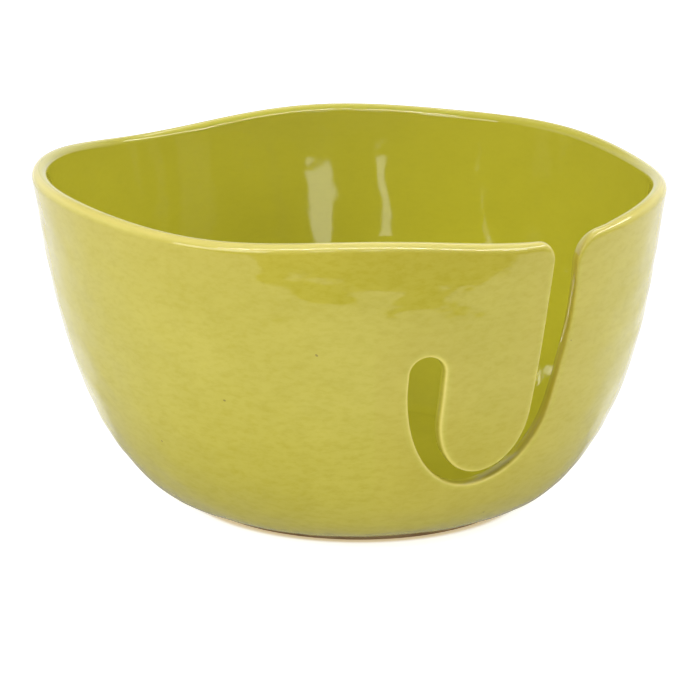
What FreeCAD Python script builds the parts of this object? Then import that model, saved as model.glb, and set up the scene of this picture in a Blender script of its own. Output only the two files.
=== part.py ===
import FreeCAD, Part
import math
import os

# Yarn bowl: a glazed earthenware bowl with a J-shaped yarn slot cut through its front wall.
# Millimetres, +Z up. The origin is on the table, under the middle of the rim.
# Azimuths are in degrees from the front (-Y), positive towards +X.

# Overall size
RIM_HEIGHT = 83.7           # mean height of the top of the lip
RIM_WAVES = (               # the hand-formed rim: waves round the bowl, height, azimuth of a crest
    (1, 1.6, -13.0),
    (2, 1.1, 111.0),
    (3, 0.6, 20.0),
    (4, 0.9, 69.0),
    (5, 0.3, 51.0),
    (6, 0.6, 50.0),
)
PLAN_WAVES = (              # how far the rim is from round: waves, swell, azimuth of a crest
    (2, 0.5, 31.0),
    (3, 0.3, 57.0),
    (4, 0.35, 56.0),
    (5, 0.25, 47.0),
)
FOOT_OFFSET = (2.2, -0.8)   # the foot sits a little off the middle of the rim

# Outside of the glazed wall, from the turn at the foot to above the rim: radius, height
FOOT_HEIGHT = 2.0
WALL_PROFILE = (
    (43.5, FOOT_HEIGHT),
    (48.2, 3.0),
    (54.1, 7.0),
    (60.7, 14.5),
    (67.8, 27.5),
    (73.6, 46.0),
    (77.4, 67.0),
    (81.0, 92.0),
)
LIP_THICKNESS = 4.0
FLOOR_THICKNESS = 5.2
GLAZE = 0.4                 # thickness of one coat of fired glaze

# Foot ring
RING_OUTER_RADIUS = 42.6
RING_INNER_RADIUS = 37.4
RING_EASE = 0.7             # radius on the ring's two lower edges

# Slot, seen from the front in the XZ plane. It is cut straight through along Y.
TONGUE_CENTRE = (10.4, 40.2)        # half ellipse round the lower end of the tongue
TONGUE_HALF = (12.5, 16.6)
TONGUE_LEAN = 4.5                   # degrees, the tongue's entry side from upright
TONGUE_SIDE_TOP = 78.0
TONGUE_CORNER = 5.0
EYE_CENTRE = (-6.3, 52.5)           # the rounded end that holds the yarn
EYE_RADIUS = 4.3
BEND_LOW = (9.0, 20.4)              # lowest point of the slot
BEND_EYE_HALF = (19.6, 29.6)        # quarter ellipse from the lowest point to the eye
BEND_ENTRY_HALF = (20.0, 27.0)      # ellipse from the lowest point towards the entry
ENTRY_LEAN = 10.5                   # degrees, the lower part of the entry's far side
ENTRY_BEND = 84.0                   # radius that brings the far side upright
ENTRY_UPRIGHT = 72.0                # height where the far side is upright
ENTRY_SIDE_TOP = 77.7
ENTRY_CORNER = 7.5
SLOT_TOP = 100.0
SLOT_NEAR = -100.0                  # the cut runs from here towards +Y
SLOT_DEPTH = 60.0

# Sections that the curved surfaces run through
AZIMUTH_STEPS = 32
WALL_STEPS = 8
STATION_EASE = 1.25         # crowds the stations towards the foot, where the wall curves most
LIP_STEPS = 4


def polar(radius, azimuth):
    """X and Y at a radius and an azimuth, in degrees from the front."""
    angle = math.radians(azimuth)
    return radius * math.sin(angle), -radius * math.cos(angle)


def azimuths():
    """Azimuths of the sections, starting at the back, clear of the slot."""
    return [180.0 + 360.0 * step / AZIMUTH_STEPS for step in range(AZIMUTH_STEPS)]


def wave_sum(waves, azimuth):
    """The sum of some waves round the bowl, at an azimuth."""
    return sum(size * math.cos(math.radians(count * (azimuth - crest))) for count, size, crest in waves)


def rim_height(azimuth):
    return RIM_HEIGHT + wave_sum(RIM_WAVES, azimuth)


def make_profile():
    """The wall's outside in its own plane, X as radius and Y as height."""
    curve = Part.BSplineCurve()
    curve.interpolate([FreeCAD.Vector(radius, height, 0) for radius, height in WALL_PROFILE])
    return curve


PROFILE = make_profile()


def profile_parameter(height):
    """Where the wall's outside reaches a height."""
    low, high = PROFILE.FirstParameter, PROFILE.LastParameter
    for _ in range(40):
        middle = (low + high) / 2
        if PROFILE.value(middle).y < height:
            low = middle
        else:
            high = middle
    return low


def place(section_point, azimuth):
    """A point of the wall's section, turned to its azimuth, with the rim's swell and the foot's offset."""
    share = section_point.y / RIM_HEIGHT
    radius = section_point.x * (1 + share * wave_sum(PLAN_WAVES, azimuth) / WALL_PROFILE[-1][0])
    x, y = polar(radius, azimuth)
    shift_x, shift_y = FOOT_OFFSET
    return FreeCAD.Vector(x + shift_x * (1 - share), y + shift_y * (1 - share), section_point.y)


def thickness(share):
    """Wall thickness at a share of the way from the foot to the lip."""
    return FLOOR_THICKNESS + (LIP_THICKNESS - FLOOR_THICKNESS) * min(1.0, 1.6 * share)


def wall_stations(azimuth):
    """Stations up the wall's outside: share of the way to the lip, point, and unit vectors up and out."""
    first = PROFILE.FirstParameter
    last = profile_parameter(rim_height(azimuth) - LIP_THICKNESS / 2)
    stations = []
    for step in range(WALL_STEPS + 1):
        share = (step / WALL_STEPS) ** STATION_EASE
        parameter = first + share * (last - first)
        up = PROFILE.tangent(parameter)[0]
        stations.append((share, PROFILE.value(parameter), up, FreeCAD.Vector(up.y, -up.x, 0)))
    return stations


def section(azimuth, skin):
    """One half of the bowl's section, up the outside from the foot, over the lip and down to the floor.
    It lies skin millimetres inside the glazed surface."""
    outside = []
    inside = []
    for share, point, up, out in wall_stations(azimuth):
        outside.append(point - out * skin)
        inside.append(point - out * (thickness(share) - skin))
    middle = point - out * (LIP_THICKNESS / 2)
    lip = []
    for step in range(1, LIP_STEPS):
        turn = math.pi * step / LIP_STEPS
        lip.append(middle + (out * math.cos(turn) + up * math.sin(turn)) * (LIP_THICKNESS / 2 - skin))
    return outside + lip + inside[::-1]


def smooth_curve(points, parameters, closed):
    curve = Part.BSplineCurve()
    curve.interpolate(Points=points, PeriodicFlag=closed, Parameters=parameters)
    return curve


def smooth_surface(rows, along):
    """A surface through closed rows of points, with along giving each row's place from 0 to 1."""
    count = len(rows[0])
    around = [step / count for step in range(count + 1)]
    rings = [smooth_curve(row, around, True) for row in rows]
    lines = [smooth_curve(list(poles), along, False) for poles in zip(*[ring.getPoles() for ring in rings])]
    surface = Part.BSplineSurface()
    surface.buildFromPolesMultsKnots(
        [line.getPoles() for line in lines],
        rings[0].getMultiplicities(),
        lines[0].getMultiplicities(),
        rings[0].getKnots(),
        lines[0].getKnots(),
        True,
        False,
        3,
        3,
    )
    return surface


def level_face(band, height):
    """The flat face within a band's level edge at a height."""
    level = []
    for edge in band.Edges:
        box = edge.BoundBox
        if box.ZLength < 1e-4 and abs(box.ZMin - height) < 1e-3:
            level.append(edge)
    return Part.Face(Part.Wire(level))


def solid_through(sections, breaks):
    """The closed solid whose skin follows each azimuth's section. Its faces part at the rows in breaks,
    and flat faces close its first and last rows."""
    rows = [list(row) for row in zip(*sections)]
    reach = [0.0]
    for low, high in zip(rows, rows[1:]):
        reach.append(reach[-1] + sum((b - a).Length for a, b in zip(low, high)))
    along = [length / reach[-1] for length in reach]
    surface = smooth_surface(rows, along)
    bands = []
    stops = [0] + breaks + [len(rows) - 1]
    for first, last in zip(stops, stops[1:]):
        band = surface.copy()
        band.segment(0, 1, along[first], along[last])
        bands.append(band.toShape())
    lids = [level_face(bands[0], rows[0][0].z), level_face(bands[-1], rows[-1][0].z)]
    lids[0].reverse()
    shell = Part.Shell(bands + lids)
    shell.sewShape(1e-5)
    return Part.Solid(shell)


def bowl_solid(skin):
    """The whole wall and floor as one closed solid, skin millimetres inside the glazed surface."""
    sections = [[place(point, azimuth) for point in section(azimuth, skin)] for azimuth in azimuths()]
    return solid_through(sections, [WALL_STEPS, WALL_STEPS + LIP_STEPS])


def inner_half():
    """Everything inside the middle of the wall. It parts the inside coat of glaze from the outside one."""
    sections = []
    for azimuth in azimuths():
        points = []
        for share, point, up, out in wall_stations(azimuth):
            points.append(point - out * (thickness(share) / 2))
        points.append(points[-1] + up * ((SLOT_TOP - points[-1].y) / up.y))
        sections.append([place(point, azimuth) for point in points])
    return solid_through(sections, [WALL_STEPS])


def slot_edge(points):
    return Part.LineSegment(*[FreeCAD.Vector(x, z, 0) for x, z in points]).toShape()


def slot_arc(points):
    return Part.Arc(*[FreeCAD.Vector(x, z, 0) for x, z in points]).toShape()


def on_ellipse(centre, half, angle):
    """A point on an upright ellipse. The angle runs in radians from +X towards +Z."""
    return centre[0] + half[0] * math.cos(angle), centre[1] + half[1] * math.sin(angle)


def on_circle(centre, radius, angle):
    return on_ellipse(centre, (radius, radius), angle)


def slot_ellipse(centre, half, start, end):
    """Part of an upright ellipse, between two angles."""
    top = FreeCAD.Vector(*on_ellipse(centre, half, math.pi / 2), 0)
    left = FreeCAD.Vector(*on_ellipse(centre, half, math.pi), 0)
    ellipse = Part.Ellipse(top, left, FreeCAD.Vector(*centre, 0))
    return Part.ArcOfEllipse(ellipse, start - math.pi / 2, end - math.pi / 2).toShape()


def leaning_angle(half, lean):
    """Where on the right side of an ellipse its edge leans by lean radians."""
    return -math.atan(half[1] / half[0] * math.tan(lean))


def tongue_edges(grow):
    """The slot's edges on the tongue, from the top down to the eye, and the points at their two ends.
    The entry side leans outwards, and the lower end is half an ellipse."""
    lean = math.radians(TONGUE_LEAN)
    half = (TONGUE_HALF[0] - grow, TONGUE_HALF[1] - grow)
    turn = leaning_angle(half, lean)
    low = on_ellipse(TONGUE_CENTRE, half, turn)
    side_top = TONGUE_SIDE_TOP + grow * math.sin(lean)
    high = (low[0] + (side_top - low[1]) * math.tan(lean), side_top)
    radius = TONGUE_CORNER - grow
    centre = on_circle(high, -radius, -lean)
    tip = on_circle(centre, radius, math.pi / 2)
    top = (tip[0], SLOT_TOP)
    edges = [
        slot_edge([top, tip]),
        slot_arc([tip, on_circle(centre, radius, (math.pi / 2 - lean) / 2), high]),
        slot_edge([high, low]),
        slot_ellipse(TONGUE_CENTRE, half, -math.pi, turn),
    ]
    return edges, top, on_ellipse(TONGUE_CENTRE, half, math.pi)


def eye_edges(grow, tongue_side):
    """The rounded eye, and the bend from it down to the slot's lowest point."""
    radius = EYE_RADIUS + grow
    eye = [on_circle(EYE_CENTRE, radius, angle) for angle in (0, math.pi / 2, math.pi)]
    half = (BEND_EYE_HALF[0] + grow, BEND_EYE_HALF[1] + grow)
    centre = (BEND_LOW[0], BEND_LOW[1] + BEND_EYE_HALF[1])
    return [
        slot_edge([tongue_side, eye[0]]),
        slot_arc(eye),
        slot_edge([eye[2], on_ellipse(centre, half, math.pi)]),
        slot_ellipse(centre, half, math.pi, 1.5 * math.pi),
    ]


def entry_edges(grow):
    """The entry's far side, from the slot's lowest point to the top, and the point at its top. It leans,
    bends upright and rounds over into the rim."""
    lean = math.radians(ENTRY_LEAN)
    half = (BEND_ENTRY_HALF[0] + grow, BEND_ENTRY_HALF[1] + grow)
    low_centre = (BEND_LOW[0], BEND_LOW[1] + BEND_ENTRY_HALF[1])
    turn = leaning_angle(half, lean)
    low = on_ellipse(low_centre, half, turn)
    radius = ENTRY_BEND + grow
    bend_start = ENTRY_UPRIGHT - radius * math.sin(lean)
    bend_low = (low[0] + (bend_start - low[1]) * math.tan(lean), bend_start)
    bend_centre = on_circle(bend_low, -radius, -lean)
    bend_high = on_circle(bend_centre, radius, 0)
    corner = ENTRY_CORNER - grow
    side = (bend_high[0], ENTRY_SIDE_TOP)
    corner_centre = (side[0] + corner, side[1])
    tip = on_circle(corner_centre, corner, math.pi / 2)
    top = (tip[0], SLOT_TOP)
    edges = [
        slot_ellipse(low_centre, half, -math.pi / 2, turn),
        slot_edge([low, bend_low]),
        slot_arc([bend_low, on_circle(bend_centre, radius, -lean / 2), bend_high]),
        slot_edge([bend_high, side]),
        slot_arc([side, on_circle(corner_centre, corner, 0.75 * math.pi), tip]),
        slot_edge([tip, top]),
    ]
    return edges, top


def slot_prism(grow):
    """The J-shaped cut through the front wall, grow millimetres wider all round than the finished slot."""
    tongue, tongue_top, tongue_side = tongue_edges(grow)
    entry, entry_top = entry_edges(grow)
    edges = tongue + eye_edges(grow, tongue_side) + entry + [slot_edge([entry_top, tongue_top])]
    outline = Part.Wire(Part.__sortEdges__(edges))
    outline.rotate(FreeCAD.Vector(0, 0, 0), FreeCAD.Vector(1, 0, 0), 90)
    outline.translate(FreeCAD.Vector(0, SLOT_NEAR, 0))
    return Part.Face(outline).extrude(FreeCAD.Vector(0, SLOT_DEPTH, 0))


def foot_ring():
    """The ring of bare clay that the bowl stands on, its lower edges eased."""
    centre = FreeCAD.Vector(FOOT_OFFSET[0], FOOT_OFFSET[1], 0)
    height = FOOT_HEIGHT + GLAZE
    ring = Part.makeCylinder(RING_OUTER_RADIUS, height, centre)
    ring = ring.cut(Part.makeCylinder(RING_INNER_RADIUS, height, centre))
    lower = [edge for edge in ring.Edges if edge.Closed and edge.BoundBox.ZMax < 1e-6]
    return ring.makeFillet(RING_EASE, lower)


def export(name, solid):
    print(name, "valid" if solid.isValid() else "NOT VALID", round(solid.Volume), "mm3")
    solid.exportStep(os.path.join("parts", name + ".step"))


os.makedirs("parts", exist_ok=True)
ring = foot_ring()
clay = bowl_solid(GLAZE).cut(slot_prism(GLAZE))
glaze = bowl_solid(0).cut(slot_prism(0)).cut(clay).cut(ring)
inner_side = inner_half()
outer_coats = sorted(glaze.cut(inner_side).Solids, key=lambda solid: solid.Volume)

export("clay_body", clay.Solids[0])
export("foot_ring", ring.Solids[0])
export("outer_glaze", outer_coats[1])
export("inner_glaze", glaze.common(inner_side).Solids[0])
export("base_glaze", outer_coats[0])
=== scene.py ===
import math

import bmesh
import bpy
import numpy as np
from mathutils import Matrix, Vector, geometry


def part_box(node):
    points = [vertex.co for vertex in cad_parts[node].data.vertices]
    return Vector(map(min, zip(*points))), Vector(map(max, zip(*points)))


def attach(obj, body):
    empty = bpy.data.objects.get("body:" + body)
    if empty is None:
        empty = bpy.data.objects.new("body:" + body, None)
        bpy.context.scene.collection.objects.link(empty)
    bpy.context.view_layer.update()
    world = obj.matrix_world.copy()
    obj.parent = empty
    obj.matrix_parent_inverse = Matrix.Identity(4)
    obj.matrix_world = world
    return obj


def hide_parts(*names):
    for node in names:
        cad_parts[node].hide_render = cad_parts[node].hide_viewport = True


# The yarn bowl's finished surfaces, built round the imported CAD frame. Shapes are worked out in
# millimetres and azimuths in radians from the front (-Y) towards +X, and written to meshes in metres.

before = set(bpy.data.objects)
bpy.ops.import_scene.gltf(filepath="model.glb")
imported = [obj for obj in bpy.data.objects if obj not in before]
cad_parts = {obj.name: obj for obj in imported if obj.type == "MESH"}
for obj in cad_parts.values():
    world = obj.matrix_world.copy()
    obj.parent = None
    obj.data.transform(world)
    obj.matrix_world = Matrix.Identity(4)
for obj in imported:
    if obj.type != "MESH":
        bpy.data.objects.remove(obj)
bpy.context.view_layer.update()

MM = 0.001

# ---- The bowl's design, the same driving dimensions as the CAD ----
RIM_HEIGHT = 83.7
RIM_WAVES = (           # waves round the bowl, height, azimuth of a crest in degrees
    (1, 1.6, -13.0),
    (2, 1.1, 111.0),
    (3, 0.6, 20.0),
    (4, 0.9, 69.0),
    (5, 0.3, 51.0),
    (6, 0.6, 50.0),
)
PLAN_WAVES = (          # waves round the rim's plan, swell, azimuth of a crest in degrees
    (2, 0.5, 31.0),
    (3, 0.3, 57.0),
    (4, 0.35, 56.0),
    (5, 0.25, 47.0),
)
WALL_PROFILE = (        # outside of the wall: radius, height
    (43.5, 2.0),
    (48.2, 3.0),
    (54.1, 7.0),
    (60.7, 14.5),
    (67.8, 27.5),
    (73.6, 46.0),
    (77.4, 67.0),
    (81.0, 92.0),
)
LIP_THICKNESS = 4.0
FLOOR_THICKNESS = 5.2
TAPER = 1.6             # how much sooner than the rim the wall is as thin as the lip
GLAZE = 0.4

# The slot in the XZ plane, in mm: the tongue between its legs, the eye, the bend and the entry from the rim.
TONGUE_CENTRE = (10.4, 40.2)
TONGUE_HALF = (12.5, 16.6)
TONGUE_LEAN = math.radians(4.5)
TONGUE_CORNER = 5.0
EYE_CENTRE = (-6.3, 52.5)
EYE_RADIUS = 4.3
BEND_LOW = (9.0, 20.4)
BEND_EYE_HALF = (19.6, 29.6)
BEND_ENTRY_HALF = (20.0, 27.0)
ENTRY_LEAN = math.radians(10.5)
ENTRY_BEND = 84.0
ENTRY_UPRIGHT = 72.0
ENTRY_CORNER = 7.5

# ---- How finely the surfaces are meshed ----
COLUMNS = 504           # round the bowl
FINE_ROWS = 104         # up the wall
COARSE_ROWS = 24        # on hidden faces
EDGE_ROWS = 9           # round each half of the lip and of the slot's edges
COARSE_EDGE_ROWS = 4    # and on hidden faces
EDGE_REACH = 2.0        # how far from an edge its rounding starts
EDGE_STEP = 0.62        # spacing along the slot's edge
EDGE_GAP = 0.45         # least gap between the slot's last point and the rim's first
LIP_POWER = 2.0         # the lip's section is a half circle
SLOT_POWER = 4.2        # the slot's cut faces are flat, with small rounded edges
POWER_FADE = 9.0        # length of the slot's edge over which one turns into the other
PATCH = (-16.0, 39.0)   # azimuths in degrees of the part of the wall that holds the slot
PATCH_FOOT = 11.0       # and the height where that part starts
SLOT_SPAN = (-22.0, 52.0)       # x of the part of the wall whose depth can run along Y
SLOT_LOWEST = 10.0              # and the height where it starts
STRAIGHT = (1.5, 6.5)           # how far from the slot it does so fully, and how far it fades after that
DISK_SPACING = 4.0              # spacing of points on hidden disks


def foot_offset():
    """How far the foot ring's middle is from the rim's, in mm."""
    low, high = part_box("foot_ring")
    return (low[0] + high[0]) / 2 / MM, (low[1] + high[1]) / 2 / MM


FOOT_X, FOOT_Y = foot_offset()


# ---------------------------------------------------------------- small helpers
def unit(vectors):
    return vectors / np.linalg.norm(vectors, axis=-1, keepdims=True)


def dot(a, b):
    """Dot products, kept as a column."""
    return np.sum(a * b, axis=-1, keepdims=True)


def ease(value):
    """Smooth step from 0 to 1."""
    value = np.clip(value, 0.0, 1.0)
    return value * value * (3 - 2 * value)


def wave_sum(waves, azimuth):
    """Sum of the waves round the bowl at an azimuth, in mm."""
    total = np.zeros_like(azimuth)
    for count, size, crest in waves:
        total = total + size * np.cos(count * (azimuth - math.radians(crest)))
    return total


# ---------------------------------------------------------------- the wall
def profile_tangents(points, lengths):
    """Tangents of the smooth curve through the profile's points, level at the foot and free at the top."""
    count = len(points)
    matrix = np.zeros((count, count))
    right = np.zeros((count, 2))
    steps = np.diff(lengths)
    rise = np.diff(points, axis=0) / steps[:, None]
    matrix[0, 0] = 1
    right[0] = (1, 0)
    for i in range(1, count - 1):
        matrix[i, i - 1:i + 2] = steps[i], 2 * (steps[i] + steps[i - 1]), steps[i - 1]
        right[i] = 3 * (steps[i] * rise[i - 1] + steps[i - 1] * rise[i])
    matrix[-1, -2:] = 1, 2
    right[-1] = 3 * rise[-1]
    return np.linalg.solve(matrix, right)


PROFILE_POINTS = np.array(WALL_PROFILE)
PROFILE_LENGTHS = np.concatenate([[0], np.cumsum(np.linalg.norm(np.diff(PROFILE_POINTS, axis=0), axis=1))])
PROFILE_TANGENTS = profile_tangents(PROFILE_POINTS, PROFILE_LENGTHS)


def profile(along):
    """Points on the wall's outside in the plane of radius and height, and the direction out of the wall."""
    along = np.asarray(along, float)
    i = np.clip(np.searchsorted(PROFILE_LENGTHS, along, side="right") - 1, 0, len(PROFILE_LENGTHS) - 2)
    step = (PROFILE_LENGTHS[i + 1] - PROFILE_LENGTHS[i])[..., None]
    t = (along - PROFILE_LENGTHS[i])[..., None] / step
    a, b = PROFILE_POINTS[i], PROFILE_POINTS[i + 1]
    da, db = PROFILE_TANGENTS[i] * step, PROFILE_TANGENTS[i + 1] * step
    point = a + t * da + t ** 2 * (3 * (b - a) - 2 * da - db) + t ** 3 * (2 * (a - b) + da + db)
    up = unit(da + 2 * t * (3 * (b - a) - 2 * da - db) + 3 * t ** 2 * (2 * (a - b) + da + db))
    return point, np.stack([up[..., 1], -up[..., 0]], axis=-1)


def thickness(along):
    """Thickness of the wall with its glaze, at a length up the profile."""
    share = np.clip(along / RIM_ALONG, 0, 1)
    return FLOOR_THICKNESS + (LIP_THICKNESS - FLOOR_THICKNESS) * np.minimum(1.0, TAPER * share)


RIM_ALONG = float(np.interp(RIM_HEIGHT - LIP_THICKNESS / 2, PROFILE_POINTS[:, 1], PROFILE_LENGTHS))
ALONG_SAMPLES = np.linspace(0, PROFILE_LENGTHS[-1], 4000)


def middle_section(along):
    """Radius and height of the middle of the wall."""
    point, out = profile(along)
    return point - out * thickness(along)[..., None] / 2


MIDDLE_SAMPLES = middle_section(ALONG_SAMPLES)


def along_at(height):
    """Length up the profile where the middle of the wall reaches a height."""
    return np.interp(height, MIDDLE_SAMPLES[:, 1], ALONG_SAMPLES)


def middle(azimuth, along):
    """The middle of the wall in space."""
    section = middle_section(along)
    share = section[..., 1] / RIM_HEIGHT
    radius = section[..., 0] * (1 + share * wave_sum(PLAN_WAVES, azimuth) / WALL_PROFILE[-1][0])
    x = radius * np.sin(azimuth) + FOOT_X * (1 - share)
    y = -radius * np.cos(azimuth) + FOOT_Y * (1 - share)
    return np.stack([x, y, section[..., 1]], axis=-1)


def azimuth_at(x, along):
    """Azimuth in the front half where the middle of the wall is at x."""
    section = middle_section(along)
    share = section[..., 1] / RIM_HEIGHT
    azimuth = np.zeros_like(x)
    for _ in range(12):
        radius = section[..., 0] * (1 + share * wave_sum(PLAN_WAVES, azimuth) / WALL_PROFILE[-1][0])
        azimuth = np.arcsin(np.clip((x - FOOT_X * (1 - share)) / radius, -0.99, 0.99))
    return azimuth


def middle_normal(azimuth, along):
    """Direction out of the wall at its middle."""
    tiny = 1e-4
    round_it = middle(azimuth + tiny, along) - middle(azimuth - tiny, along)
    up = middle(azimuth, along + tiny) - middle(azimuth, along - tiny)
    return unit(np.cross(round_it, up))


def rim_height(azimuth):
    return RIM_HEIGHT + wave_sum(RIM_WAVES, azimuth)


# ---------------------------------------------------------------- the slot's outline in the XZ plane
RIM_MARGIN = 8          # degrees of rim sampled past each side of the patch
RIM_AZIMUTHS = np.linspace(math.radians(PATCH[0] - RIM_MARGIN), math.radians(PATCH[1] + RIM_MARGIN), 800)
RIM_X = middle(RIM_AZIMUTHS, along_at(rim_height(RIM_AZIMUTHS)))[:, 0]


def rim_at(x):
    """Height and slope of the rim above x, seen from the front."""
    step = 0.2
    height = np.interp(x, RIM_X, rim_height(RIM_AZIMUTHS))
    ahead = np.interp(x + step, RIM_X, rim_height(RIM_AZIMUTHS))
    return height, (ahead - height) / step


def arc(centre, half, start, end):
    turn = np.linspace(start, end, 160)
    return np.stack([centre[0] + half[0] * np.cos(turn), centre[1] + half[1] * np.sin(turn)], axis=-1)


def circle(centre, radius, start, end):
    return arc(centre, (radius, radius), start, end)


def leaning_angle(half, lean):
    """Where on the right side of an ellipse its edge leans by lean."""
    return -math.atan(half[1] / half[0] * math.tan(lean))


def corner_centre(low, lean, side, radius):
    """Centre of the arc that rounds a leaning side over into the rim. side is +1 for clay to the right."""
    x = low[0]
    for _ in range(30):
        height, slope = rim_at(x)
        z = height - radius * math.sqrt(1 + slope ** 2)
        x = low[0] + (z - low[1]) * math.tan(lean) + side * radius / math.cos(lean)
    return (x, z), math.atan(slope)


def slot_outline():
    """Dense points on the slot's edge, with the clay on its left: down the entry's far side, round the eye,
    and back up the tongue."""
    centre = (BEND_LOW[0], BEND_LOW[1] + BEND_ENTRY_HALF[1])
    turn = leaning_angle(BEND_ENTRY_HALF, ENTRY_LEAN)
    bend = arc(centre, BEND_ENTRY_HALF, turn, -math.pi / 2)
    low = bend[0]
    bend_start = ENTRY_UPRIGHT - ENTRY_BEND * math.sin(ENTRY_LEAN)
    bend_low = (low[0] + (bend_start - low[1]) * math.tan(ENTRY_LEAN), bend_start)
    far_centre = (bend_low[0] - ENTRY_BEND * math.cos(ENTRY_LEAN), ENTRY_UPRIGHT)
    far = circle(far_centre, ENTRY_BEND, 0, -ENTRY_LEAN)
    entry_centre, slope = corner_centre(tuple(far[0]), 0.0, 1, ENTRY_CORNER)
    entry = circle(entry_centre, ENTRY_CORNER, math.pi / 2 + slope, math.pi)

    eye_bend = arc((BEND_LOW[0], BEND_LOW[1] + BEND_EYE_HALF[1]), BEND_EYE_HALF, 1.5 * math.pi, math.pi)
    eye = circle(EYE_CENTRE, EYE_RADIUS, math.pi, 0)
    turn = leaning_angle(TONGUE_HALF, TONGUE_LEAN)
    tongue = arc(TONGUE_CENTRE, TONGUE_HALF, -math.pi, turn)
    tip_centre, slope = corner_centre(tuple(tongue[-1]), TONGUE_LEAN, -1, TONGUE_CORNER)
    tip = circle(tip_centre, TONGUE_CORNER, -TONGUE_LEAN, math.pi / 2 + slope)
    points = np.concatenate([entry, far, bend, eye_bend, eye, tongue, tip])
    keep = np.concatenate([[True], np.linalg.norm(np.diff(points, axis=0), axis=1) > 1e-6])
    return points[keep]


def resample(points, step):
    """Evenly spaced points along a dense polyline, the direction to its left and the length so far at each,
    and the whole length."""
    reach = 0.15
    lengths = np.concatenate([[0], np.cumsum(np.linalg.norm(np.diff(points, axis=0), axis=1))])
    count = int(round(lengths[-1] / step))
    stops = np.linspace(0, lengths[-1], count + 1)
    even = np.stack([np.interp(stops, lengths, points[:, k]) for k in (0, 1)], axis=-1)
    ahead = np.stack([np.interp(stops + reach, lengths, points[:, k]) for k in (0, 1)], axis=-1)
    behind = np.stack([np.interp(stops - reach, lengths, points[:, k]) for k in (0, 1)], axis=-1)
    direction = unit(ahead - behind)
    return even, np.stack([-direction[:, 1], direction[:, 0]], axis=-1), stops, lengths[-1]


SLOT = slot_outline()
SLOT_COARSE = resample(SLOT, 0.8)[0]


def slot_distance(x, z):
    """Distance to the slot's outline in the XZ plane."""
    a, b = SLOT_COARSE[:-1], SLOT_COARSE[1:]
    along = b - a
    offset = np.stack([x, z], axis=-1)[:, None, :] - a[None]
    share = np.clip(np.sum(offset * along, axis=-1) / np.sum(along * along, axis=-1), 0, 1)
    return np.min(np.linalg.norm(offset - share[..., None] * along, axis=-1), axis=1)


def in_slot(x, z):
    """Whether points in the XZ plane lie in the slot, by crossings of its outline."""
    above = 200.0
    outline = np.concatenate([SLOT_COARSE, [(SLOT_COARSE[-1][0], above), (SLOT_COARSE[0][0], above)]])
    inside = np.zeros(len(x), bool)
    for (x1, z1), (x2, z2) in zip(outline, np.roll(outline, -1, axis=0)):
        if z1 == z2:
            continue
        crosses = ((z1 > z) != (z2 > z)) & (x < (x2 - x1) * (z - z1) / (z2 - z1) + x1)
        inside ^= crosses
    return inside


def wall_point(azimuth, along, depth):
    """A point depth mm out of the middle of the wall. Near the slot, depth runs straight along Y, as the
    slot is cut, and elsewhere square to the wall."""
    base = middle(azimuth, along)
    normal = middle_normal(azimuth, along)
    straight = np.zeros(len(base))
    x, z = base[:, 0], base[:, 2]
    in_front = np.cos(azimuth) > 0.5
    near = in_front & (x > SLOT_SPAN[0]) & (x < SLOT_SPAN[1]) & (z > SLOT_LOWEST)
    if near.any():
        straight[near] = 1 - ease((slot_distance(x[near], z[near]) - STRAIGHT[0]) / STRAIGHT[1])
    way = unit(normal * (1 - straight[:, None]) + np.array([0.0, -1.0, 0.0]) * straight[:, None])
    return base + way * (depth / dot(way, normal)[:, 0])[:, None]


def wall_normal(azimuth, along, side):
    """Normal of the outer (side 1) or inner (side -1) surface, pointing out of the wall."""
    tiny = 2e-3
    usual_radius = 60
    spread = tiny / usual_radius

    def surface(a, s):
        return wall_point(a, s, side * thickness(s) / 2)

    round_it = surface(azimuth + spread, along) - surface(azimuth - spread, along)
    up = surface(azimuth, along + tiny) - surface(azimuth, along - tiny)
    return unit(np.cross(round_it, up)) * side


# ---------------------------------------------------------------- the hand-made surface
def make_ripples(seed, count, shortest, longest, flat, height):
    """A smooth random surface relief: waves of these lengths in mm, flattened vertically, height in mm."""
    draw = np.random.default_rng(seed)
    lengths = np.exp(draw.uniform(math.log(shortest), math.log(longest), count))
    turn = draw.uniform(0, 2 * math.pi, count)
    tilt = draw.uniform(-1, 1, count)
    level = np.sqrt(1 - tilt ** 2)
    ways = np.stack([level * np.cos(turn), level * np.sin(turn), tilt * flat], axis=-1)
    phases = draw.uniform(0, 2 * math.pi, count)
    sizes = height * math.sqrt(2 / count) * (lengths / lengths.mean())
    return 2 * math.pi * ways / lengths[:, None], phases, sizes


def relief(ripples, points):
    """Height of the relief and its slope at points."""
    ways, phases, sizes = ripples
    angle = points @ ways.T + phases
    return np.cos(angle) @ sizes, -(np.sin(angle) * sizes) @ ways


OUTSIDE_RELIEF = (
    make_ripples(11, 40, 16, 48, 1.0, 0.10),
    make_ripples(13, 60, 8.0, 18.0, 1.7, 0.040),
    make_ripples(12, 110, 3.0, 7.0, 2.0, 0.006),
)
INSIDE_RELIEF = (
    make_ripples(21, 40, 18, 55, 1.0, 0.09),
    make_ripples(23, 50, 8.0, 18.0, 1.0, 0.024),
    make_ripples(22, 60, 4.0, 9.0, 1.5, 0.004),
)


def add_relief(points, normals, amount, reliefs):
    """Points raised by the relief along their normals, and the normals tipped by its slope."""
    raised = points.copy()
    tipped = normals.copy()
    for ripples in reliefs:
        height, slope = relief(ripples, points)
        raised += normals * (height * amount)[:, None]
        tipped -= (slope - normals * dot(slope, normals)) * amount[:, None]
    return raised, unit(tipped)


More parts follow.
